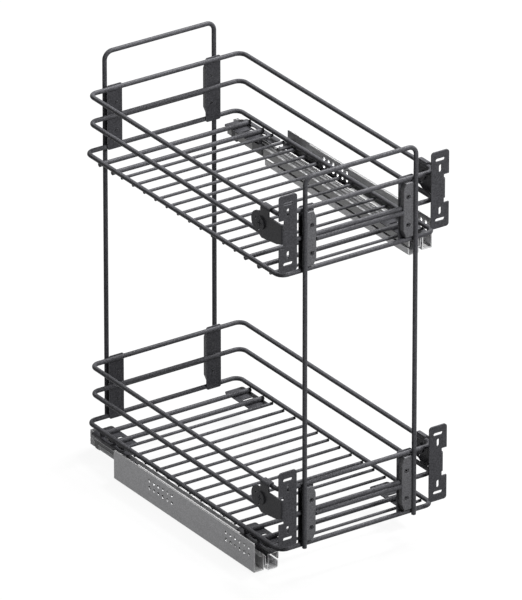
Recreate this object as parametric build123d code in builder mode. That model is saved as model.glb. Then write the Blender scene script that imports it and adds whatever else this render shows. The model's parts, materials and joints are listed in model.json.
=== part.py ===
"""Two-tier pull-out basket for a narrow base cabinet.

Two welded wire baskets hang between a front and a rear wire frame and ride on
two concealed runners: one under the left of the lower basket, one under the
right of the upper basket. Four brackets at the front carry the cabinet door.

Frame: X across the cabinet, Y to the back, Z up. The origin is the middle of
the bounding box's floor. Millimetres.
"""

import os

from build123d import *

os.makedirs("parts", exist_ok=True)

# Overall layout
clear_width = 264.0
tier_rise = 373.7
base_z = {"lower": 40.6, "upper": 40.6 + tier_rise}
plate_thickness = 1.5
left, right = -1, 1

# Basket wires
rim_wire = 6.0
floor_wire = 4.0
rim_x = 114.0
rim_front_y = -212.0
rim_rear_y = 210.0
mid_rim_rise = 44.0
top_rim_rise = 81.9
bend_radius = 11.0
floor_half_length = 113.4
thin_pitch = 25.0
thin_ys = [-188.5] + [-111.0 + thin_pitch * i for i in range(11)]
bearer_ys = [-163.0, -134.0, 160.0, 189.0]
end_break = 0.4

# The bottom rim passes behind the rear clamp plates
bottom_rim_rear_y = rim_rear_y + rim_wire + plate_thickness

# Tie wires beside the middle rims
tie_shift = 4.4
tie_drop = 4.3

# Front and rear frames
frame_x = 81.7
front_frame_y = rim_front_y - rim_wire
rear_frame_y = bottom_rim_rear_y + rim_wire
frame_top_z = 540.8
frame_foot_z = base_z["lower"] - rim_wire / 2

# Clamp plates on the baskets and clamp covers on the frames
clamp_front_y = rim_front_y + rim_wire / 2
clamp_rear_y = rim_rear_y + rim_wire / 2 + plate_thickness
plate_inner_x = 62.7
plate_outer_x = 84.5
clamp_screw_x = 71.2
clamp_screw_rises = [22.2, 59.8]
clamp_hole = 4.3
clamp_corner = 2.5
cover_inner_x = 64.2
cover_outer_x = 78.7
cover_depth = 8.5
cover_round = 1.2
cover_gap = 0.4
cover_bottom_rise = 5.0
cover_top_rise = 78.4
cover_chamfer_x = 4.0
cover_chamfer_z = 10.0
screw_head = 6.4
screw_shank = 3.9
screw_head_length = 7.7
screw_hex = 3.0
socket_depth = 3.0
screw_tip = 0.7

# Door brackets
door_face_y = -226.5
bracket_thickness = 2.0
bracket_x = 112.2
bracket_width = 26.0
bracket_height = 103.2
bracket_corner = 4.0
bracket_rise = 62.8
slot_width = 4.2
level_slot_length = 14.0
level_slot_spacing = 80.6
upright_slot_length = 10.2
upright_slot_spacing = 57.0
notch_x = 117.7
notch_low = 12.9
notch_high = 19.1
arm_outer_x = 121.0
arm_inner_x = arm_outer_x - bracket_thickness
sheet_bend = 2.2
head_y = -173.3
head_drop = -1.7
head_radius = 14.0
hook_y = (-196.6, -178.8)
hook_tip_x = 112.5
hook_bend = 4.0
hook_clearance = 0.2
arm_heel = [(-8.0, -20.6), (-41.6, -16.5)]
small_holes = [(-2.3, -11.1, 1.75), (4.3, 2.0, 1.5)]

# Adjusting cams
cam_y = -181.0
cam_rise = bracket_rise - 0.5
cam_shaft = 8.0
cam_disc = 17.0
cam_disc_thickness = 2.0
cam_edge = 0.6
cam_gap = 0.2
cam_slot = (9.0, 1.6, 1.2)
eccentric = 12.0
eccentric_offset = 1.5
eccentric_thickness = 1.6
running_gap = 0.05

# Runners. u runs inwards from the cabinet side, z up from the runner's lowest face.
rail_y = (-181.5, 131.5)
sheet = 1.5
side_plate_z = (2.2, 41.7)
side_lip_u = 3.6
side_lip_y = (-146.0, 80.0)
side_plate_corner = 2.0
riser_u = (13.2, 14.7)
ledge_u = 8.7
ledge_z = 22.9
middle_wall = 1.3
middle_upper_u = 16.6
middle_upper_top = 20.4
middle_shelf_z = 8.9
middle_lip_z = 9.7
drawer_u = (19.8, 35.7)
drawer_y = (-182.5, 215.5)
drawer_outer_z = 10.05
drawer_inner_z = 12.8
drawer_top_z = 23.6
rail_edge = 1.2
drawer_inner_edge = 2.4
trough_edges = (1.6, 2.8)
window_y = (133.0, 206.5)
window_z = (15.45, 21.0)
gap_y = (197.5, 206.5)
ball = 2.5
ball_rows = [12.4, 18.4]
ball_pitch = 12.0
balls_per_row = 9
cage_middle_y = -25.0
cage_length = 112.0
cage_height = 12.0
cage_thickness = 0.7
cage_corner = 2.0
screw_hole = 4.8
screw_hole_pitch = 10.0
screw_hole_columns = 6
screw_hole_rows = [22.2, 32.4]
screw_group_ys = [-145.0, 26.0]
runners = {"lower": left, "upper": right}

# Slotted plates under the baskets, and the couplings between them and the runner
plate_ys = [-146.0, 177.0]
inner_leaf = (99.5, 28.6, 60.0)
outer_leaf = (110.5, 16.0, 76.0)
outer_leaf_shift = -10.5
inner_leaf_corner = 3.0
outer_leaf_corner = 2.0
plate_slot_x = 99.3
plate_slot_length = 17.0
plate_slot_shift = -3.0
long_slot_length = 17.0
long_slot_shifts = [-27.5, -1.5]
plate_lip = (117.75, 28.0, 4.0)
plate_lip_shift = -8.5
coupling_u = (30.5, 35.0)
coupling_y = (-32.0, 12.0)
skirt_u = 36.9
skirt_y = (137.0, 158.0)
skirt_sheet = 1.2

# Closing unit
trough_u = (2.0, 9.5)
trough_middle = sum(trough_u) / 2
trough_front_y = -20.0
trough_rear_y = 130.0
trough_floor_z = 4.0
trough_rim_z = 18.6
trough_hook_z = 27.2
trough_wall = 1.2
damper_wall = 2.0
damper_z = 8.6
damper_radius = 2.5
damper_bore = 1.9
damper_length = 90.0
catch_u = (3.5, 8.0)
catch_front_y = 112.0
catch_rear_y = 124.0
catch_gap = 0.5
catch_foot_z = 5.6
catch_top_z = 21.1
catch_rod = 1.0
catch_rod_length = 68.0
piston_length = 4.0
spring_z = 15.2
spring_radius = 1.9
spring_wire = 0.5
spring_pitch = 3.0
spring_length = 54.0
spring_seat_y = (54.5, 57.0)
spring_seat_z = 11.7

# Rear end of the moving rail
block_wall = 0.2
block_foot_z = 7.5
tongue_u = (19.8, 26.5)
tongue_y = (207.2, 215.5)
tongue_height = 6.5
arm_u = (3.5, 24.0)
arm_y = (117.0, 123.0)
arm_pin = 4.0
arm_pin_length = 2.2


def keep(piece, label):
    """Name a finished piece and write it to its own file."""
    piece.part.label = label
    export_step(piece.part, f"parts/{label}.step")


def level_ring(label, front_y, rear_y, z):
    """A closed rounded wire ring in a level plane."""
    with BuildPart() as ring:
        with BuildLine(Plane.XY.offset(z)) as path:
            FilletPolyline(
                (rim_x, front_y),
                (rim_x, rear_y),
                (-rim_x, rear_y),
                (-rim_x, front_y),
                radius=bend_radius,
                close=True,
            )
        with BuildSketch(Plane(origin=path.line @ 0, z_dir=path.line % 0)):
            Circle(rim_wire / 2)
        sweep(path=path.line)
    keep(ring, label)


def cross_wires(label, ys, diameter, z):
    """Straight wires across the basket, under the bottom rim."""
    with BuildPart() as wires:
        with Locations(*[(0, y, z) for y in ys]):
            Cylinder(diameter / 2, 2 * floor_half_length, rotation=(0, 90, 0))
        chamfer(wires.edges().filter_by(GeomType.CIRCLE), end_break)
    keep(wires, label)


def tie_wires(label, y, half_length):
    """Straight wires beside the middle rims, from one clamp to the other."""
    with BuildPart() as ties:
        with Locations(*[(0, y, z + mid_rim_rise - tie_drop) for z in base_z.values()]):
            Cylinder(rim_wire / 2, 2 * half_length, rotation=(0, 90, 0))
    keep(ties, label)


def clamp_plates(label, tier):
    """The flat plates that the basket's three rims are welded to, two at each end."""
    low = base_z[tier] - rim_wire / 2
    high = base_z[tier] + top_rim_rise + rim_wire / 2
    centre_x = (plate_inner_x + plate_outer_x) / 2
    width = plate_outer_x - plate_inner_x
    hole_points = [
        (side * clamp_screw_x, base_z[tier] + rise)
        for side in (left, right)
        for rise in clamp_screw_rises
    ]
    with BuildPart() as plates:
        for inner_y in (rim_front_y + rim_wire / 2, rim_rear_y + rim_wire / 2):
            with BuildSketch(Plane.XZ.offset(-inner_y)):
                with Locations((-centre_x, (low + high) / 2), (centre_x, (low + high) / 2)):
                    RectangleRounded(width, high - low, clamp_corner)
                with Locations(*hole_points):
                    Circle(clamp_hole / 2, mode=Mode.SUBTRACT)
            extrude(amount=-plate_thickness)
    keep(plates, label)


def cover_outline(side, low, high, inner_x, outer_x, cut_x, cut_z):
    """Front view of a clamp cover: its inner corners are cut off."""
    Polygon(
        (side * inner_x, low + cut_z),
        (side * (inner_x + cut_x), low),
        (side * outer_x, low),
        (side * outer_x, high),
        (side * (inner_x + cut_x), high),
        (side * inner_x, high - cut_z),
        align=None,
    )


def clamp_covers(label, plate_y, outward, tier):
    """The pair of hollow covers welded to a frame's legs and screwed to the plates."""
    low = base_z[tier] + cover_bottom_rise
    high = base_z[tier] + cover_top_rise
    with BuildPart() as covers:
        for side in (left, right):
            with BuildSketch(Plane.XZ.offset(-plate_y)):
                cover_outline(
                    side, low, high, cover_inner_x, cover_outer_x, cover_chamfer_x, cover_chamfer_z
                )
            extrude(amount=-outward * cover_depth)
        face_y = plate_y + outward * cover_depth
        rims = covers.faces().filter_by(Axis.Y).group_by(Axis.Y)[-1 if outward > 0 else 0]
        fillet(rims.edges().filter_by(lambda edge: abs(edge.center().X) < cover_outer_x - 0.1), cover_round)
        for side in (left, right):
            with BuildSketch(Plane.XZ.offset(-plate_y)):
                cover_outline(
                    side,
                    low + plate_thickness,
                    high - plate_thickness,
                    cover_inner_x + plate_thickness,
                    cover_outer_x + plate_thickness,
                    cover_chamfer_x,
                    cover_chamfer_z,
                )
            extrude(amount=-outward * (cover_depth - plate_thickness), mode=Mode.SUBTRACT)
        with BuildSketch(Plane.XZ.offset(-face_y)):
            for side in (left, right):
                for rise in clamp_screw_rises:
                    with Locations((side * clamp_screw_x, base_z[tier] + rise)):
                        Circle(screw_head / 2 + cover_gap)
        extrude(amount=outward * 2 * plate_thickness, mode=Mode.SUBTRACT)
        if outward < 0:
            rim_z = base_z[tier] + mid_rim_rise
            notch_radius = rim_wire / 2 + cover_gap
            with Locations(*[(side * cover_inner_x, rim_front_y, rim_z) for side in (left, right)]):
                Cylinder(notch_radius, 4 * plate_thickness, rotation=(0, 90, 0), mode=Mode.SUBTRACT)
    keep(covers, label)


def clamp_screws():
    """Sixteen socket screws: two through each cover into its plate."""
    with BuildPart() as screws:
        for plate_y, outward in ((clamp_front_y, -1), (clamp_rear_y, 1)):
            for tier in base_z:
                points = [
                    (side * clamp_screw_x, base_z[tier] + rise)
                    for side in (left, right)
                    for rise in clamp_screw_rises
                ]
                with BuildSketch(Plane.XZ.offset(-plate_y)):
                    with Locations(*points):
                        Circle(screw_head / 2)
                extrude(amount=-outward * screw_head_length)
                with BuildSketch(Plane.XZ.offset(-plate_y)):
                    with Locations(*points):
                        Circle(screw_shank / 2)
                extrude(amount=outward * (plate_thickness + screw_tip))
                with BuildSketch(Plane.XZ.offset(-plate_y - outward * screw_head_length)):
                    with Locations(*points):
                        RegularPolygon(screw_hex / 2, 6, major_radius=False)
                extrude(amount=outward * socket_depth, mode=Mode.SUBTRACT)
    keep(screws, "clamp_screws")


def end_frame(label, y):
    """A wire bent into a tall upside-down U that carries both baskets."""
    with BuildPart() as frame:
        with BuildLine(Plane.XZ.offset(-y)) as path:
            FilletPolyline(
                (-frame_x, frame_foot_z),
                (-frame_x, frame_top_z),
                (frame_x, frame_top_z),
                (frame_x, frame_foot_z),
                radius=bend_radius,
            )
        with BuildSketch(Plane(origin=(-frame_x, y, frame_foot_z), z_dir=(0, 0, 1))):
            Circle(rim_wire / 2)
        sweep(path=path.line)
        chamfer(frame.faces().sort_by(Axis.Z)[0:2].edges(), end_break)
    keep(frame, label)


def door_bracket(label, side, tier):
    """A slotted door plate with an arm that hooks over the basket's top rim."""
    middle_z = base_z[tier] + bracket_rise
    top_rim_z = base_z[tier] + top_rim_rise
    back_y = door_face_y + bracket_thickness
    with BuildPart() as bracket:
        with BuildSketch(Plane.XZ.offset(-back_y)):
            with Locations((side * bracket_x, middle_z)):
                RectangleRounded(bracket_width, bracket_height, bracket_corner)
            outer_x = bracket_x + bracket_width / 2
            with Locations((side * (notch_x + outer_x + 1) / 2, middle_z)):
                Rectangle(outer_x + 1 - notch_x, 2 * notch_high, mode=Mode.SUBTRACT)
            with Locations(*[(side * bracket_x, middle_z + d * level_slot_spacing / 2) for d in (-1, 1)]):
                SlotOverall(level_slot_length, slot_width, mode=Mode.SUBTRACT)
            with Locations(*[(side * bracket_x, middle_z + d * upright_slot_spacing / 2) for d in (-1, 1)]):
                SlotOverall(upright_slot_length, slot_width, rotation=90, mode=Mode.SUBTRACT)
        extrude(amount=bracket_thickness)
        with BuildSketch(Plane.XY.offset(middle_z - notch_low)):
            with BuildLine():
                FilletPolyline(
                    (side * (notch_x - 1), door_face_y + bracket_thickness / 2),
                    (side * (arm_inner_x + arm_outer_x) / 2, door_face_y + bracket_thickness / 2),
                    (side * (arm_inner_x + arm_outer_x) / 2, door_face_y + 5),
                    radius=sheet_bend,
                )
            trace(line_width=bracket_thickness)
        extrude(amount=2 * notch_low)
        with BuildSketch(Plane.YZ.offset(side * arm_inner_x)):
            Polygon(
                (door_face_y + 4, middle_z + notch_low),
                (head_y, middle_z + head_drop + head_radius),
                (head_y, middle_z + head_drop - head_radius),
                *[(head_y + y, middle_z + z) for y, z in arm_heel],
                (door_face_y + 4, middle_z - notch_low),
                align=None,
            )
            with Locations((head_y, middle_z + head_drop)):
                Circle(head_radius)
            with Locations((cam_y, base_z[tier] + cam_rise)):
                Circle(cam_shaft / 2 + running_gap, mode=Mode.SUBTRACT)
            for y, z, radius in small_holes:
                with Locations((head_y + y, middle_z + z)):
                    Circle(radius, mode=Mode.SUBTRACT)
        extrude(amount=side * bracket_thickness)
        hook_x = side * (arm_inner_x + arm_outer_x) / 2
        hook_z = top_rim_z + (rim_wire + bracket_thickness) / 2 + hook_clearance
        with BuildSketch(Plane.XZ.offset(-hook_y[1])):
            with BuildLine():
                FilletPolyline(
                    (hook_x, middle_z + head_radius / 2),
                    (hook_x, hook_z),
                    (side * hook_tip_x, hook_z),
                    radius=hook_bend,
                )
            trace(line_width=bracket_thickness)
        extrude(amount=hook_y[1] - hook_y[0])
    keep(bracket, label)


def bracket_cam(label, side, tier):
    """A round adjusting cam: a slotted disc outside the arm, an eccentric inside it."""
    z = base_z[tier] + cam_rise
    face_x = arm_outer_x + cam_gap + cam_disc_thickness
    slot_length, slot_across, slot_depth = cam_slot
    with BuildPart() as cam:
        with BuildSketch(Plane.YZ.offset(side * (arm_outer_x + cam_gap))):
            with Locations((cam_y, z)):
                Circle(cam_disc / 2)
        extrude(amount=side * cam_disc_thickness)
        fillet(cam.edges().filter_by(GeomType.CIRCLE).sort_by(Axis.X)[-1 if side > 0 else 0], cam_edge)
        with BuildSketch(Plane.YZ.offset(side * face_x)):
            with Locations((cam_y, z)):
                Rectangle(slot_length, slot_across)
                Rectangle(slot_across, slot_length)
        extrude(amount=-side * slot_depth, mode=Mode.SUBTRACT)
        with BuildSketch(Plane.YZ.offset(side * (arm_inner_x - cam_gap))):
            with Locations((cam_y, z)):
                Circle(cam_shaft / 2)
        extrude(amount=side * (bracket_thickness + 2 * cam_gap))
        with BuildSketch(Plane.YZ.offset(side * (arm_inner_x - cam_gap))):
            with Locations((cam_y + eccentric_offset, z)):
                Circle(eccentric / 2)
        extrude(amount=-side * eccentric_thickness)
    keep(cam, label)


def support_plates(label, side, tier, with_runner):
    """The pair of slotted plates welded under the bearers; a runner's have an outer leaf too."""
    top_z = base_z[tier] - rim_wire / 2 - rim_wire
    inner_x, inner_width, inner_length = inner_leaf
    outer_x, outer_width, outer_length = outer_leaf
    lip_x, lip_length, lip_drop = plate_lip
    with BuildPart() as plates:
        for y in plate_ys:
            with BuildSketch(Plane.XY.offset(top_z)):
                with Locations((side * inner_x, y)):
                    RectangleRounded(inner_width, inner_length, inner_leaf_corner)
                if with_runner:
                    with Locations((side * outer_x, y + outer_leaf_shift)):
                        RectangleRounded(outer_width, outer_length, outer_leaf_corner)
                    with Locations(*[(side * outer_x, y + shift) for shift in long_slot_shifts]):
                        SlotOverall(long_slot_length, slot_width, rotation=90, mode=Mode.SUBTRACT)
                with Locations((side * plate_slot_x, y + plate_slot_shift)):
                    SlotOverall(plate_slot_length, slot_width, mode=Mode.SUBTRACT)
            extrude(amount=-plate_thickness)
            if with_runner:
                with BuildSketch(Plane.XY.offset(top_z)):
                    with Locations((side * lip_x, y + plate_lip_shift)):
                        Rectangle(plate_thickness, lip_length)
                extrude(amount=-lip_drop)
    keep(plates, label)


def basket(tier):
    """One welded wire basket: three rims, floor wires, bearers and clamp plates."""
    z = base_z[tier]
    level_ring(f"{tier}_bottom_rim", rim_front_y, bottom_rim_rear_y, z)
    level_ring(f"{tier}_middle_rim", rim_front_y, rim_rear_y, z + mid_rim_rise)
    level_ring(f"{tier}_top_rim", rim_front_y, rim_rear_y, z + top_rim_rise)
    cross_wires(f"{tier}_floor_wires", thin_ys, floor_wire, z - (rim_wire + floor_wire) / 2)
    cross_wires(f"{tier}_floor_bearers", bearer_ys, rim_wire, z - rim_wire)
    clamp_plates(f"{tier}_clamp_plates", tier)


class RunnerFrame:
    """Places a runner's section: u inwards from the cabinet side, z up."""

    def __init__(self, side, foot_z):
        self.side = side
        self.foot_z = foot_z

    def x(self, u):
        return self.side * (clear_width / 2 - u)

    def point(self, u, z):
        return (self.x(u), self.foot_z + z)

    def bar(self, u, y, z, mode=Mode.ADD):
        """A straight block between two values of u, y and z."""
        with BuildSketch(Plane.XZ.offset(-y[1]), mode=Mode.PRIVATE) as section:
            with Locations(self.point(sum(u) / 2, sum(z) / 2)):
                Rectangle(u[1] - u[0], z[1] - z[0])
        extrude(section.sketch, amount=y[1] - y[0], mode=mode)

    def grooves(self, u):
        """Ball tracks along the whole rail, centred on u."""
        with BuildSketch(Plane.XZ.offset(-drawer_y[1] - 1), mode=Mode.PRIVATE) as section:
            with Locations(*[self.point(u, z) for z in ball_rows]):
                Circle(ball / 2 + running_gap)
        extrude(section.sketch, amount=drawer_y[1] - drawer_y[0] + 2, mode=Mode.SUBTRACT)


outer_ball_u = (riser_u[1] + middle_upper_u) / 2
inner_ball_u = (middle_upper_u + middle_wall + drawer_u[0]) / 2


def cabinet_member(label, at):
    """The fixed rail: a drilled side plate with a turned-in lip, a foot, a riser and a ledge."""
    low, high = side_plate_z
    with BuildPart() as member:
        at.bar((0, sheet), rail_y, side_plate_z)
        at.bar((0, side_lip_u), side_lip_y, (high - sheet, high))
        at.bar((0, riser_u[1]), rail_y, (low, low + sheet))
        at.bar(riser_u, rail_y, (low, ledge_z))
        at.bar((ledge_u, riser_u[1]), (rail_y[0], trough_front_y - sheet), (ledge_z - sheet, ledge_z))
        at.grooves(outer_ball_u)
        with BuildSketch(Plane.YZ.offset(at.x(0))):
            for middle_y in screw_group_ys:
                for row in screw_hole_rows:
                    with Locations((middle_y, at.foot_z + row)):
                        with GridLocations(screw_hole_pitch, 0, screw_hole_columns, 1):
                            Circle(screw_hole / 2)
        extrude(amount=-at.side * sheet, mode=Mode.SUBTRACT)
        for y in rail_y:
            corner = Vector(at.x(sheet / 2), y, at.foot_z + high)
            fillet(member.edges().filter_by(Axis.X).sort_by_distance(corner)[0], side_plate_corner)
    keep(member, label)


def middle_member(label, at):
    """The rail between the two others: a trough under the moving rail with a stepped outer wall."""
    low_u, high_u = drawer_u
    with BuildPart() as member:
        at.bar((low_u, high_u), rail_y, (0, middle_wall))
        at.bar((high_u - middle_wall, high_u), rail_y, (0, middle_lip_z))
        at.bar((low_u, low_u + middle_wall), rail_y, (0, middle_shelf_z))
        at.bar((middle_upper_u, low_u + middle_wall), rail_y, (middle_shelf_z - middle_wall, middle_shelf_z))
        at.bar(
            (middle_upper_u, middle_upper_u + middle_wall),
            rail_y,
            (middle_shelf_z - middle_wall, middle_upper_top),
        )
        at.grooves(outer_ball_u)
        at.grooves(inner_ball_u)
        for u, radius in zip(drawer_u, trough_edges):
            corner = Vector(at.x(u), 0, at.foot_z)
            fillet(member.edges().filter_by(Axis.Y).sort_by_distance(corner)[0], radius)
    keep(member, label)


def drawer_member(label, at):
    """The moving rail: a channel that is open downwards, with a window near its rear end."""
    low_u, high_u = drawer_u
    with BuildPart() as member:
        at.bar((low_u, low_u + sheet), drawer_y, (drawer_outer_z, drawer_top_z))
        at.bar(drawer_u, drawer_y, (drawer_top_z - sheet, drawer_top_z))
        at.bar((high_u - sheet, high_u), drawer_y, (drawer_inner_z, drawer_top_z))
        at.bar((low_u - 1, low_u + sheet), window_y, window_z, Mode.SUBTRACT)
        at.bar((low_u - 1, high_u + 1), gap_y, (drawer_outer_z - 1, window_z[1]), Mode.SUBTRACT)
        at.grooves(inner_ball_u)
        for u, radius in zip(drawer_u, (rail_edge, drawer_inner_edge)):
            corner = Vector(at.x(u), 0, at.foot_z + drawer_top_z)
            fillet(member.edges().filter_by(Axis.Y).sort_by_distance(corner)[0], radius)
        at.bar(tongue_u, tongue_y, (drawer_top_z - sheet, drawer_top_z + tongue_height))
    keep(member, label)


def ball_cage(label, at, u):
    """A thin strip that spaces two rows of balls."""
    centres = [
        (cage_middle_y + (i - (balls_per_row - 1) / 2) * ball_pitch, at.foot_z + z)
        for i in range(balls_per_row)
        for z in ball_rows
    ]
    with BuildPart() as cage:
        with BuildSketch(Plane.YZ.offset(at.x(u))):
            with Locations((cage_middle_y, at.foot_z + sum(ball_rows) / 2)):
                RectangleRounded(cage_length, cage_height, cage_corner)
            with Locations(*centres):
                Circle(ball / 2 + running_gap, mode=Mode.SUBTRACT)
        extrude(amount=cage_thickness / 2, both=True)
    keep(cage, f"{label}_cage")
    with BuildPart() as balls:
        with Locations(*[(at.x(u), y, z) for y, z in centres]):
            Sphere(ball / 2)
    keep(balls, f"{label}_balls")


def soft_close(tier, at):
    """The closing unit in the fixed rail: housing, damper, spring and sliding catch."""
    rod_tip_y = catch_front_y - catch_rod_length
    with BuildPart() as housing:
        at.bar(trough_u, (trough_front_y, catch_rear_y), (trough_floor_z, trough_rim_z))
        at.bar(trough_u, (catch_rear_y, trough_rear_y), (trough_floor_z, trough_hook_z))
        at.bar(
            (trough_u[0] + trough_wall, trough_u[1] - trough_wall),
            (trough_front_y + damper_wall, catch_rear_y),
            (trough_floor_z + trough_wall, trough_hook_z + 1),
            Mode.SUBTRACT,
        )
        at.bar(trough_u, spring_seat_y, (spring_seat_z, trough_rim_z))
    keep(housing, f"{tier}_soft_close_housing")
    with BuildPart() as damper:
        with BuildSketch(Plane.XZ.offset(-trough_front_y - damper_wall)):
            with Locations(at.point(trough_middle, damper_z)):
                Circle(damper_radius)
        extrude(amount=-damper_length)
        with BuildSketch(Plane.XZ.offset(-trough_front_y - 3 * damper_wall)):
            with Locations(at.point(trough_middle, damper_z)):
                Circle(damper_bore)
        extrude(amount=-damper_length, mode=Mode.SUBTRACT)
    keep(damper, f"{tier}_damper")
    with BuildPart() as catch:
        at.bar(catch_u, (catch_front_y, catch_rear_y - catch_gap), (catch_foot_z, catch_top_z))
        with BuildSketch(Plane.XZ.offset(-catch_front_y)):
            with Locations(at.point(trough_middle, damper_z)):
                Circle(catch_rod)
        extrude(amount=catch_rod_length)
        with BuildSketch(Plane.XZ.offset(-rod_tip_y - piston_length)):
            with Locations(at.point(trough_middle, damper_z)):
                Circle(damper_bore - running_gap)
        extrude(amount=piston_length)
    keep(catch, f"{tier}_soft_close_catch")
    spring_end = (at.x(trough_middle), catch_front_y - spring_wire, at.foot_z + spring_z)
    with BuildPart() as spring:
        with BuildLine() as coil:
            Helix(spring_pitch, spring_length, spring_radius, center=spring_end, direction=(0, -1, 0))
        with BuildSketch(Plane(origin=coil.line @ 0, z_dir=coil.line % 0)):
            Circle(spring_wire / 2)
        sweep(path=coil.line, is_frenet=True)
    keep(spring, f"{tier}_closing_spring")


def drawer_fittings(tier, at):
    """What is fixed to the moving rail: couplings, rear end block and catch arm."""
    low_u, high_u = drawer_u
    plate_z = base_z[tier] - rim_wire / 2 - rim_wire - plate_thickness - at.foot_z
    with BuildPart() as couplings:
        for y in plate_ys:
            at.bar(coupling_u, (y + coupling_y[0], y + coupling_y[1]), (drawer_top_z, plate_z))
        at.bar((coupling_u[0], skirt_u), skirt_y, (drawer_top_z, drawer_top_z + skirt_sheet))
        at.bar((high_u, skirt_u), skirt_y, (drawer_inner_z, drawer_top_z + skirt_sheet))
    keep(couplings, f"{tier}_couplings")
    with BuildPart() as block:
        inner_u = (low_u + sheet + block_wall, high_u - sheet - block_wall)
        at.bar(inner_u, window_y, (drawer_outer_z + block_wall, drawer_top_z - sheet))
        at.bar((low_u + block_wall, inner_u[1]), window_y, window_z)
        at.bar(drawer_u, gap_y, (drawer_outer_z + block_wall, window_z[1]))
        at.bar(inner_u, gap_y, (block_foot_z, window_z[1]))
    keep(block, f"{tier}_rail_end_block")
    with BuildPart() as arm:
        at.bar(arm_u, arm_y, (drawer_top_z, drawer_top_z + sheet))
        with BuildSketch(Plane.XY.offset(at.foot_z + drawer_top_z)):
            with Locations((at.x(trough_middle), sum(arm_y) / 2)):
                Circle(arm_pin / 2)
        extrude(amount=-arm_pin_length)
    keep(arm, f"{tier}_catch_arm")


def runner(tier):
    """One complete concealed runner with its closing unit."""
    side = runners[tier]
    at = RunnerFrame(side, base_z[tier] - base_z["lower"])
    cabinet_member(f"{tier}_cabinet_member", at)
    middle_member(f"{tier}_middle_member", at)
    drawer_member(f"{tier}_drawer_member", at)
    ball_cage(f"{tier}_outer", at, outer_ball_u)
    ball_cage(f"{tier}_inner", at, inner_ball_u)
    soft_close(tier, at)
    drawer_fittings(tier, at)


for tier in base_z:
    basket(tier)
    runner(tier)
    support_plates(f"{tier}_runner_plates", runners[tier], tier, True)
    clamp_covers(f"{tier}_front_clamp_covers", clamp_front_y, -1, tier)
    clamp_covers(f"{tier}_rear_clamp_covers", clamp_rear_y, 1, tier)
    for side, word in ((left, "left"), (right, "right")):
        door_bracket(f"{tier}_{word}_door_bracket", side, tier)
        bracket_cam(f"{tier}_{word}_cam", side, tier)

support_plates("lower_spare_plates", right, "lower", False)
tie_wires("front_tie_wires", rim_front_y - tie_shift, cover_inner_x)
tie_wires("rear_tie_wires", rim_rear_y + tie_shift, plate_inner_x)
end_frame("front_frame", front_frame_y)
end_frame("rear_frame", rear_frame_y)
clamp_screws()
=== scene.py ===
import json
import math

import bpy
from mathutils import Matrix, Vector


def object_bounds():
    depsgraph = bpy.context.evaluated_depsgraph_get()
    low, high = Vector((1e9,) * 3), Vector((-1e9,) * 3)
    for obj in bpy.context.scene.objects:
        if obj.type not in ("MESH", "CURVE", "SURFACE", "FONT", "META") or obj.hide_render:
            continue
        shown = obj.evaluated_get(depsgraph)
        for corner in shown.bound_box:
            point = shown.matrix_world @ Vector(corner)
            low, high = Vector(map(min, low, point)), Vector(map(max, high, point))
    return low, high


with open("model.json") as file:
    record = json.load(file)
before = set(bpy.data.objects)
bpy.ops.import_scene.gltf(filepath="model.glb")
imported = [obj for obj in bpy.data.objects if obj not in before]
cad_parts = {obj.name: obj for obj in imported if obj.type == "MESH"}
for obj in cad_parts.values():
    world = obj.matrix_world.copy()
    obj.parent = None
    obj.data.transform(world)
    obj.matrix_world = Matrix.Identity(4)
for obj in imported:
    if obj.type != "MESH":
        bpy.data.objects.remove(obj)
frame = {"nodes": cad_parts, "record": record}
cad_low, cad_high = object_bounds()
nodes = frame["nodes"]

# Endings of the node names of the parts made of sheet metal
COATED_SHEET = ("plates", "door_bracket")
COVERS = ("clamp_covers",)
RAILS = ("cabinet_member", "drawer_member", "middle_member")

# Soft edges on the sheet parts, in metres and radians
EDGE_WIDTH = 0.0003
EDGE_SEGMENTS = 2
EDGE_SHARPER_THAN = math.radians(50)

# Most values of a noise texture lie between these two
NOISE_RANGE = (0.3, 0.7)

# Sharp edges for painted highlights are found by comparing the face with its direction rounded
# over a small radius
EDGE_SAMPLES = 6

# Painted highlights on the sharp edges of zinc, and strips of painted light, show a pale grey of
# their own and little of the room.
# A strip fades in and out over the given metres.
PAINTED_HIGHLIGHT_GREY = 0.95
PAINTED_LIGHT_METALLIC = 0.05
STRIP_FADE = 0.0002

# A wave texture with scale 1 repeats after this many metres
WAVE_LENGTH = 0.314

# The floor's half side and its distance below the object, in metres
FLOOR_REACH = 6.0
FLOOR_GAP = 0.0005

# The floor's greys, the share of it that glows where it is seen, and the world's strengths
FLOOR_GREY_FOR_LIGHT = 0.08
FLOOR_GREY_SEEN = 0.9
FLOOR_GLOW = 0.92
WORLD_FILL = 0.1
WORLD_BACKDROP = 1.0

# Name, place, side length in metres and power in watts of each lamp
LAMPS = (
    ("key_light", (1.5, 0.35, 2.85), 0.8, 150.0),
    ("front_light", (0.56, -2.2, 1.95), 1.0, 70.0),
    ("side_light", (-2.6, -1.2, 1.1), 1.2, 6.0),
    ("back_light", (-0.38, 2.24, 2.25), 0.7, 14.0),
)

# The camera fitted to the photograph: metres, degrees, and millimetres for lens and sensor
CAMERA_PLACE = (-6.7127, -9.9129, 6.0594)
CAMERA_LOOKS_DOWN = 25.8195
CAMERA_TURN = -34.110
CAMERA_LENS = 643.87
CAMERA_SENSOR = 36.0
CAMERA_CLIP_END = 60.0


def grey(level):
    return (level, level, level)


def shaded(colour, factor):
    """A colour made darker or paler by a factor."""
    return tuple(channel * factor for channel in colour)


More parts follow.
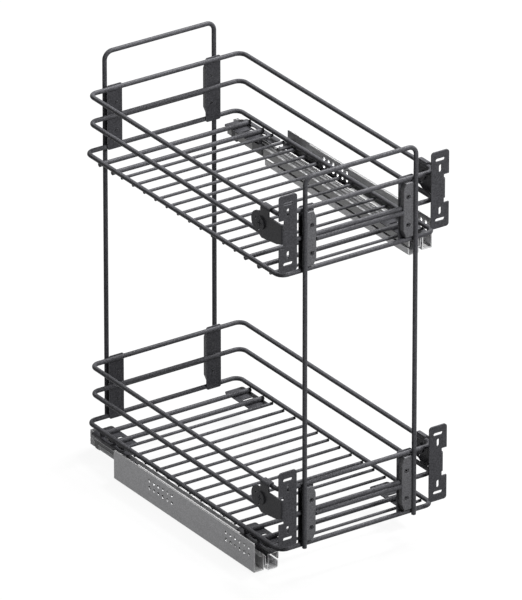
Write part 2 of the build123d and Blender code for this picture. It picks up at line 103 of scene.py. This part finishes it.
class Shader:
    """A material's node tree with short ways to add and join nodes."""

    def __init__(self, name):
        self.material = bpy.data.materials.new(name)
        self.material.use_nodes = True
        self.tree = self.material.node_tree
        self.tree.nodes.clear()
        output = self.add("ShaderNodeOutputMaterial")
        self.principled = self.add("ShaderNodeBsdfPrincipled")
        self.join(self.principled.outputs[0], output.inputs["Surface"])
        self.place = self.add("ShaderNodeTexCoord").outputs["Object"]

    def add(self, kind, **settings):
        node = self.tree.nodes.new(kind)
        for key, value in settings.items():
            setattr(node, key, value)
        return node

    def join(self, source, target):
        self.tree.links.new(source, target)

    def set(self, socket, value):
        """Gives an input of the surface one value all over."""
        self.principled.inputs[socket].default_value = value

    def feed(self, socket, source):
        """Joins a node's output to an input of the surface."""
        self.join(source, self.principled.inputs[socket])

    def vary(self, socket, noise, low, high):
        """Moves an input of the surface between two values with a noise."""
        self.feed(socket, self.span(noise, *NOISE_RANGE, low, high))

    def stretched(self, scale):
        """The object's coordinates, stretched by three factors."""
        mapping = self.add("ShaderNodeMapping")
        mapping.inputs["Scale"].default_value = scale
        self.join(self.place, mapping.inputs["Vector"])
        return mapping.outputs[0]

    def noise(self, scale, detail, rough, vector=None):
        node = self.add("ShaderNodeTexNoise")
        node.inputs["Scale"].default_value = scale
        node.inputs["Detail"].default_value = detail
        node.inputs["Roughness"].default_value = rough
        self.join(vector or self.place, node.inputs["Vector"])
        return node.outputs["Fac"]

    def two_tone(self, source, dark, light, places=NOISE_RANGE):
        """Runs from a dark to a light colour while the source goes from place to place."""
        node = self.add("ShaderNodeValToRGB")
        for element, place, colour in zip(node.color_ramp.elements, places, (dark, light)):
            element.position = place
            element.color = (*colour, 1.0)
        self.join(source, node.inputs["Fac"])
        return node.outputs["Color"]

    def span(self, source, low, high, to_low, to_high):
        """Maps a value from one range to another."""
        node = self.add("ShaderNodeMapRange")
        values = (low, high, to_low, to_high)
        for name, value in zip(("From Min", "From Max", "To Min", "To Max"), values):
            node.inputs[name].default_value = value
        self.join(source, node.inputs["Value"])
        return node.outputs["Result"]

    def blend_colours(self, share, first, second, mode="MIX"):
        """Blends two colours. Each value is a node's output or fixed."""
        node = self.add("ShaderNodeMix", data_type="RGBA", blend_type=mode)
        for name, value in (("Factor", share), ("A", first), ("B", second)):
            socket = node.inputs[name]
            if isinstance(value, bpy.types.NodeSocket):
                self.join(value, socket)
            elif isinstance(value, float):
                socket.default_value = value
            else:
                socket.default_value = (*value, 1.0)
        return node.outputs["Result"]

    def multiplied(self, first, second):
        return self.blend_colours(1.0, first, second, "MULTIPLY")

    def bump(self, height, strength, distance, under=None):
        node = self.add("ShaderNodeBump")
        node.inputs["Strength"].default_value = strength
        node.inputs["Distance"].default_value = distance
        self.join(height, node.inputs["Height"])
        if under is not None:
            self.join(under, node.inputs["Normal"])
        return node.outputs["Normal"]

    def combined(self, operation, first, second):
        node = self.add("ShaderNodeMath", operation=operation)
        self.join(first, node.inputs[0])
        self.join(second, node.inputs[1])
        return node.outputs[0]

    def edge_share(self, radius, sharp, soft):
        """One along the sheet's sharp edges, nothing on flat and round faces."""
        rounded = self.add("ShaderNodeBevel", samples=EDGE_SAMPLES)
        rounded.inputs["Radius"].default_value = radius
        flat = self.add("ShaderNodeNewGeometry").outputs["True Normal"]
        agree = self.add("ShaderNodeVectorMath", operation="DOT_PRODUCT")
        self.join(rounded.outputs[0], agree.inputs[0])
        self.join(flat, agree.inputs[1])
        return self.span(agree.outputs["Value"], sharp, soft, 1.0, 0.0)

    def strip_share(self, start, end):
        """One between two places along X, nothing outside them."""
        across = self.add("ShaderNodeSeparateXYZ")
        self.join(self.place, across.inputs[0])
        after = self.span(across.outputs["X"], start - STRIP_FADE, start, 0.0, 1.0)
        before = self.span(across.outputs["X"], end, end + STRIP_FADE, 1.0, 0.0)
        return self.combined("MULTIPLY", after, before)

    def ribs(self, pitch):
        """Waves across the part, one rib in each pitch."""
        wave = self.add(
            "ShaderNodeTexWave", wave_type="BANDS", bands_direction="X", wave_profile="SIN"
        )
        wave.inputs["Scale"].default_value = WAVE_LENGTH / pitch
        self.join(self.place, wave.inputs["Vector"])
        return wave.outputs["Fac"]


def powder_coat(name, colour, roughness, sheen, edge=3.0):
    """Fine-textured powder coat on steel: pale and dark grains over a slow drift of tone, with
    painted highlights on its sharp edges.

    edge is how many times paler than the coat its sharp edges are painted, as a highlight.
    """
    s = Shader(name)
    coarse = s.noise(scale=520.0, detail=2.0, rough=0.7)
    fine = s.noise(scale=1900.0, detail=2.0, rough=0.6)
    cloud = s.noise(scale=38.0, detail=3.0, rough=0.5)
    speckle = s.two_tone(coarse, shaded(colour, 0.7), shaded(colour, 1.32), places=(0.38, 0.62))
    toned = s.multiplied(speckle, s.two_tone(cloud, grey(0.95), grey(1.05)))
    # Painted highlight: the sharp edges are made paler than the coat
    painted_edge_highlight = s.edge_share(radius=0.0008, sharp=0.8, soft=0.97)
    s.feed("Base Color", s.blend_colours(painted_edge_highlight, toned, shaded(colour, edge)))
    s.vary("Roughness", fine, roughness - 0.06, roughness + 0.06)
    s.set("Specular IOR Level", sheen)
    coarse_bump = s.bump(coarse, strength=0.3, distance=0.0004)
    s.feed("Normal", s.bump(fine, strength=0.3, distance=0.0002, under=coarse_bump))
    return s.material


def zinc_plate(name, colour, roughness, metallic=0.8, ribs=None, polished=None, painted_light_grey=0.95):
    """Zinc-plated sheet: a soft drift of tone, faint rolling lines, a fine grain, and sharp edges
    made paler as painted highlights.

    ribs is the pitch of shallow ribs along the rail, whose colour also gets painted light and
    shade. Two X places, if given, bound a strip of painted light in the given grey: a painted
    highlight line, or painted light over a shaded channel.
    """
    s = Shader(name)
    rolled = s.noise(scale=260.0, detail=3.0, rough=0.6, vector=s.stretched((3.0, 0.1, 3.0)))
    cloud = s.noise(scale=24.0, detail=3.0, rough=0.55)
    grain = s.noise(scale=700.0, detail=2.0, rough=0.6)
    lines = s.two_tone(rolled, shaded(colour, 0.93), shaded(colour, 1.08), places=(0.25, 0.75))
    speckle = s.two_tone(grain, grey(0.84), grey(1.16), places=(0.38, 0.62))
    toned = s.multiplied(lines, s.two_tone(cloud, grey(0.94), grey(1.05)))
    toned = s.multiplied(toned, speckle)
    # Painted highlight: the sharp edges are made a pale, barely metallic grey
    painted_edge_highlight = s.edge_share(radius=0.001, sharp=0.86, soft=0.985)
    painted_light_share = painted_edge_highlight
    if polished is not None:
        # Painted light: a pale strip between two X places, as a highlight line or over a shaded
        # channel
        strip = s.strip_share(*polished)
        toned = s.blend_colours(strip, toned, s.multiplied(speckle, grey(painted_light_grey)))
        painted_light_share = s.combined("MAXIMUM", painted_edge_highlight, strip)
    s.vary("Roughness", cloud, roughness - 0.04, roughness + 0.05)
    s.feed("Metallic", s.span(painted_light_share, 0.0, 1.0, metallic, PAINTED_LIGHT_METALLIC))
    relief = s.bump(rolled, strength=0.08, distance=0.0002)
    if ribs is not None:
        wave = s.ribs(ribs)
        # Painted light and shade: the colour darkens and grows paler across each rib, besides its
        # bump
        toned = s.multiplied(toned, s.two_tone(wave, grey(0.5), grey(1.3), places=(0.3, 0.8)))
        relief = s.bump(wave, strength=0.6, distance=0.0006, under=relief)
    s.feed("Base Color", s.blend_colours(painted_edge_highlight, toned, grey(PAINTED_HIGHLIGHT_GREY)))
    s.feed("Normal", s.bump(grain, strength=0.1, distance=0.0002, under=relief))
    return s.material


def moulded(name, colour, roughness):
    """Lightly grained moulded plastic."""
    s = Shader(name)
    grain = s.noise(scale=1400.0, detail=2.0, rough=0.5)
    cloud = s.noise(scale=60.0, detail=2.0, rough=0.5)
    s.feed("Base Color", s.two_tone(cloud, shaded(colour, 0.85), shaded(colour, 1.15)))
    s.vary("Roughness", grain, roughness - 0.05, roughness + 0.05)
    s.set("Specular IOR Level", 0.4)
    s.feed("Normal", s.bump(grain, strength=0.25, distance=0.0002))
    return s.material


def plain_steel(name, colour, roughness):
    """Bare steel with faint turning marks."""
    s = Shader(name)
    marks = s.noise(scale=900.0, detail=3.0, rough=0.6)
    s.feed("Base Color", s.two_tone(marks, shaded(colour, 0.9), shaded(colour, 1.1)))
    s.vary("Roughness", marks, roughness - 0.05, roughness + 0.05)
    s.set("Metallic", 1.0)
    s.feed("Normal", s.bump(marks, strength=0.08, distance=0.0001))
    return s.material


# Looks by material slot, with the colours as linear red, green and blue
slot_looks = {
    "anthracite_coat": powder_coat(
        "anthracite_coat_look", (0.07, 0.07, 0.0765), roughness=0.36, sheen=0.06
    ),
    "black_steel": powder_coat(
        "black_steel_look", (0.072, 0.072, 0.078), roughness=0.38, sheen=0.07
    ),
    # The screw heads' sharp edges get a strong painted highlight
    "screw_black": powder_coat(
        "screw_black_look", (0.02, 0.02, 0.022), roughness=0.3, sheen=0.3, edge=9.0
    ),
    "cage_steel": zinc_plate(
        "cage_steel_look", (0.42, 0.42, 0.43), roughness=0.32, metallic=1.0
    ),
    "ball_steel": plain_steel("ball_steel_look", (0.66, 0.66, 0.68), roughness=0.14),
    "spring_steel": plain_steel("spring_steel_look", (0.5, 0.5, 0.52), roughness=0.3),
    "black_plastic": moulded("black_plastic_look", (0.024, 0.024, 0.027), roughness=0.42),
    "catch_plastic": moulded("catch_plastic_look", (0.042, 0.042, 0.047), roughness=0.38),
    "damper_plastic": moulded("damper_plastic_look", (0.18, 0.18, 0.19), roughness=0.3),
}

# The six rails, each with a look of its own: copies of one zinc made darker or paler as painted
# shade and painted light
rail_looks = {
    # Painted shade: the lower drawer rail is darker zinc, with a painted highlight line along it
    "lower_drawer_member": zinc_plate(
        "lower_rail_painted_shade_look", (0.1, 0.1, 0.104), roughness=0.36, polished=(-0.1022, -0.0975)
    ),
    # Painted light: the upper drawer rail is paler zinc, with painted light along its ribs and a
    # painted highlight line
    "upper_drawer_member": zinc_plate(
        "upper_rail_painted_light_look", (0.3, 0.3, 0.306), roughness=0.3, metallic=0.6, ribs=0.0053,
        polished=(0.0955, 0.0972), painted_light_grey=0.7
    ),
    # A strip of painted light over the shaded channel
    "lower_cabinet_member": zinc_plate(
        "lower_fixed_painted_light_look", (0.21, 0.21, 0.216), roughness=0.33,
        polished=(-0.1303, -0.1), painted_light_grey=0.55
    ),
    # Painted light: paler zinc than the lower copy, and a strip of painted light over the shaded
    # channel
    "upper_cabinet_member": zinc_plate(
        "upper_fixed_painted_light_look", (0.34, 0.34, 0.347), roughness=0.33,
        polished=(0.1, 0.1282), painted_light_grey=0.7
    ),
    # Painted light: the shaded middle rails are pale, dull zinc
    "lower_middle_member": zinc_plate(
        "lower_trough_painted_light_look", (0.8, 0.8, 0.81), roughness=0.35, metallic=0.2
    ),
    "upper_middle_member": zinc_plate(
        "upper_trough_painted_light_look", (0.45, 0.45, 0.46), roughness=0.35, metallic=0.3
    ),
}
# Copies of the anthracite coat: darker for the sheet parts as painted shade, paler for the clamp
# covers as painted light
painted_shade_sheet_coat = powder_coat("sheet_coat_painted_shade_look", (0.054, 0.054, 0.0595), roughness=0.36, sheen=0.1)
painted_light_cover_coat = powder_coat("cover_coat_painted_light_look", (0.112, 0.112, 0.119), roughness=0.36, sheen=0.2)
slot_of = {row["node"]: row["material_slot"] for row in frame["record"]["subparts"]}


def look_for(name):
    """The rail's own look with its painted light or shade, the sheet parts' coat darkened as
    painted shade, the covers' coat made paler as painted light, or the slot's look.
    """
    if name in rail_looks:
        return rail_looks[name]
    if name.endswith(COATED_SHEET):
        return painted_shade_sheet_coat
    if name.endswith(COVERS):
        return painted_light_cover_coat
    return slot_looks[slot_of[name]]


for name, node in nodes.items():
    for material_slot in node.material_slots:
        material_slot.material = look_for(name)
    if name.endswith(COATED_SHEET + COVERS + RAILS):
        edge = node.modifiers.new("soft_edges", "BEVEL")
        edge.width = EDGE_WIDTH
        edge.segments = EDGE_SEGMENTS
        edge.limit_method = "ANGLE"
        edge.angle_limit = EDGE_SHARPER_THAN

# Floor
corners = [
    (x * FLOOR_REACH, y * FLOOR_REACH, 0) for x, y in ((-1, -1), (1, -1), (1, 1), (-1, 1))
]
floor_mesh = bpy.data.meshes.new("studio_floor")
floor_mesh.from_pydata(corners, [], [(0, 1, 2, 3)])
floor = bpy.data.objects.new("studio_floor", floor_mesh)
floor.location.z = cad_low.z - FLOOR_GAP
bpy.context.collection.objects.link(floor)


def seen_share(tree, strength):
    """The given share for rays from the camera or a mirror-like bounce, else nothing."""
    rays = tree.nodes.new("ShaderNodeLightPath")
    total = rays.outputs["Is Camera Ray"]
    for name in ("Is Glossy Ray", "Is Transmission Ray"):
        larger = tree.nodes.new("ShaderNodeMath")
        larger.operation = "MAXIMUM"
        tree.links.new(total, larger.inputs[0])
        tree.links.new(rays.outputs[name], larger.inputs[1])
        total = larger.outputs[0]
    share = tree.nodes.new("ShaderNodeMath")
    share.operation = "MULTIPLY"
    share.inputs[1].default_value = strength
    tree.links.new(total, share.inputs[0])
    return share.outputs[0]


def mixed(tree, share, first, second):
    mix = tree.nodes.new("ShaderNodeMixShader")
    tree.links.new(share, mix.inputs["Fac"])
    tree.links.new(first, mix.inputs[1])
    tree.links.new(second, mix.inputs[2])
    return mix.outputs[0]


def plain_light(tree, kind, strength):
    """White light of the given strength from a glowing surface or the world."""
    node = tree.nodes.new(kind)
    node.inputs["Color"].default_value = (*grey(1.0), 1.0)
    node.inputs["Strength"].default_value = strength
    return node.outputs[0]


# The floor is seen nearly white, keeps the shadow, and sends little light up
pale = bpy.data.materials.new("pale_floor")
pale.use_nodes = True
tree = pale.node_tree
tree.nodes.clear()
shades = []
for level in (FLOOR_GREY_FOR_LIGHT, FLOOR_GREY_SEEN):
    matt = tree.nodes.new("ShaderNodeBsdfDiffuse")
    matt.inputs["Color"].default_value = (*grey(level), 1.0)
    shades.append(matt.outputs[0])
paler = mixed(tree, seen_share(tree, 1.0), *shades)
glow = plain_light(tree, "ShaderNodeEmission", 1.0)
out = tree.nodes.new("ShaderNodeOutputMaterial")
tree.links.new(mixed(tree, seen_share(tree, FLOOR_GLOW), paler, glow), out.inputs["Surface"])
floor_mesh.materials.append(pale)

# The world is a weak fill light, with a white backdrop where it is seen
world = bpy.data.worlds.new("studio")
bpy.context.scene.world = world
world.use_nodes = True
tree = world.node_tree
tree.nodes.clear()
fill = plain_light(tree, "ShaderNodeBackground", WORLD_FILL)
backdrop = plain_light(tree, "ShaderNodeBackground", WORLD_BACKDROP)
out = tree.nodes.new("ShaderNodeOutputWorld")
tree.links.new(mixed(tree, seen_share(tree, 1.0), fill, backdrop), out.inputs["Surface"])

# Soft square lamps aimed at the middle of the object
middle = (cad_low + cad_high) / 2
for name, place, size, power in LAMPS:
    data = bpy.data.lights.new(name, "AREA")
    data.size = size
    data.energy = power
    lamp = bpy.data.objects.new(name, data)
    lamp.location = place
    lamp.rotation_euler = (middle - Vector(place)).to_track_quat("-Z", "Y").to_euler()
    bpy.context.collection.objects.link(lamp)

# Camera
camera_data = bpy.data.cameras.new("camera")
camera_data.lens = CAMERA_LENS
camera_data.sensor_width = CAMERA_SENSOR
camera_data.sensor_fit = "AUTO"
camera_data.clip_end = CAMERA_CLIP_END
camera = bpy.data.objects.new("camera", camera_data)
camera.location = CAMERA_PLACE
camera.rotation_euler = (
    math.radians(90 - CAMERA_LOOKS_DOWN), 0.0, math.radians(CAMERA_TURN)
)
bpy.context.collection.objects.link(camera)
bpy.context.scene.camera = camera
bpy.context.scene.view_settings.view_transform = "Standard"
